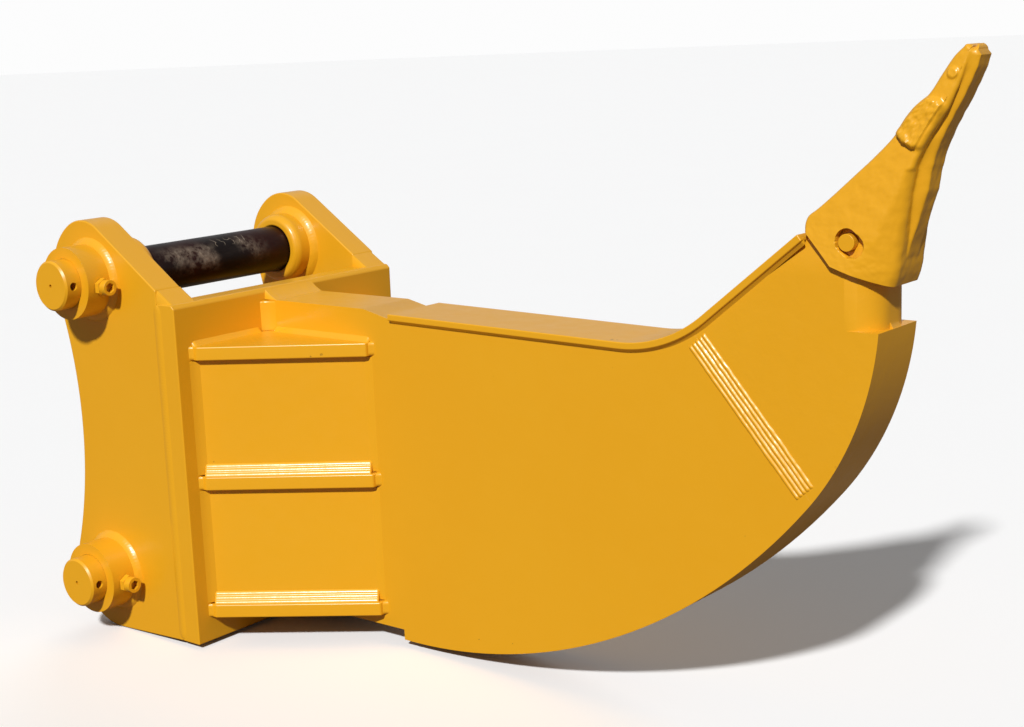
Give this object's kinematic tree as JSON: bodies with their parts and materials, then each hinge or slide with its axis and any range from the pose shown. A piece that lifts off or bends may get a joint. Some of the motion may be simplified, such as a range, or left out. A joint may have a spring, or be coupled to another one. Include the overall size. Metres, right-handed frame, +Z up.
{
  "type": "excavator ripper",
  "caption": "Single-shank ripper for an excavator: two ears with removable linkage pins, gusseted base plate, curved shank and a pinned replaceable tooth.",
  "frame": {"origin": "centre of the lower linkage pin, on the mid-plane between the ears", "axes": "+X from the pins toward the shank, +Y along the pins to the far ear, +Z up from the lower pin to the upper pin"},
  "size_m": [1.502, 0.597, 0.926],
  "materials": {
    "ear_near": "gloss machinery yellow enamel",
    "ear_far": "gloss machinery yellow enamel",
    "base_plate": "gloss machinery yellow enamel",
    "collar_upper": "gloss machinery yellow enamel",
    "collar_lower": "gloss machinery yellow enamel",
    "boss_upper_near": "gloss machinery yellow enamel",
    "boss_upper_far": "gloss machinery yellow enamel",
    "boss_lower_near": "gloss machinery yellow enamel",
    "boss_lower_far": "gloss machinery yellow enamel",
    "upper_pin": "bare dark steel, oiled, rubbed chalk smears",
    "lower_pin": "bare dark steel, oiled, rubbed chalk smears",
    "keeper_screw_upper": "gloss machinery yellow enamel",
    "keeper_nut_upper": "gloss machinery yellow enamel",
    "keeper_screw_lower": "gloss machinery yellow enamel",
    "keeper_nut_lower": "gloss machinery yellow enamel",
    "shank": "gloss machinery yellow enamel",
    "nose": "gloss machinery yellow over rough casting",
    "cap_plate": "gloss machinery yellow enamel",
    "rib_top_near": "gloss machinery yellow enamel",
    "rib_mid_near": "gloss machinery yellow enamel",
    "rib_low_near": "gloss machinery yellow enamel",
    "rib_top_far": "gloss machinery yellow enamel",
    "rib_mid_far": "gloss machinery yellow enamel",
    "rib_low_far": "gloss machinery yellow enamel",
    "panel_upper_near": "gloss machinery yellow enamel",
    "panel_lower_near": "gloss machinery yellow enamel",
    "panel_upper_far": "gloss machinery yellow enamel",
    "panel_lower_far": "gloss machinery yellow enamel",
    "tooth": "gloss machinery yellow over rough casting",
    "tooth_pin": "gloss machinery yellow enamel"
  },
  "bodies": {
    "frame": {"ear_near": "ear_near", "ear_far": "ear_far", "base_plate": "base_plate", "collar_upper": "collar_upper", "collar_lower": "collar_lower", "boss_upper_near": "boss_upper_near", "boss_upper_far": "boss_upper_far", "boss_lower_near": "boss_lower_near", "boss_lower_far": "boss_lower_far", "shank": "shank", "nose": "nose", "cap_plate": "cap_plate", "rib_top_near": "rib_top_near", "rib_mid_near": "rib_mid_near", "rib_low_near": "rib_low_near", "rib_top_far": "rib_top_far", "rib_mid_far": "rib_mid_far", "rib_low_far": "rib_low_far", "panel_upper_near": "panel_upper_near", "panel_lower_near": "panel_lower_near", "panel_upper_far": "panel_upper_far", "panel_lower_far": "panel_lower_far", "tooth": "tooth"},
    "upper_pin": {"upper_pin": "upper_pin"},
    "lower_pin": {"lower_pin": "lower_pin"},
    "upper_keeper": {"keeper_screw_upper": "keeper_screw_upper", "keeper_nut_upper": "keeper_nut_upper"},
    "lower_keeper": {"keeper_screw_lower": "keeper_screw_lower", "keeper_nut_lower": "keeper_nut_lower"},
    "tooth_pin": {"tooth_pin": "tooth_pin"}
  },
  "joints": [
    {"name": "upper_pin_slide", "type": "slide", "parent": "frame", "child": "upper_pin", "axis": [0, -1, 0], "range_m": [0, 0.62]},
    {"name": "lower_pin_slide", "type": "slide", "parent": "frame", "child": "lower_pin", "axis": [0, -1, 0], "range_m": [0, 0.62]},
    {"name": "upper_keeper_slide", "type": "slide", "parent": "frame", "child": "upper_keeper", "axis": [1, 0, 0], "range_m": [0, 0.05]},
    {"name": "lower_keeper_slide", "type": "slide", "parent": "frame", "child": "lower_keeper", "axis": [1, 0, 0], "range_m": [0, 0.05]},
    {"name": "tooth_pin_slide", "type": "slide", "parent": "frame", "child": "tooth_pin", "axis": [0, -1, 0], "range_m": [0, 0.14]}
  ]
}
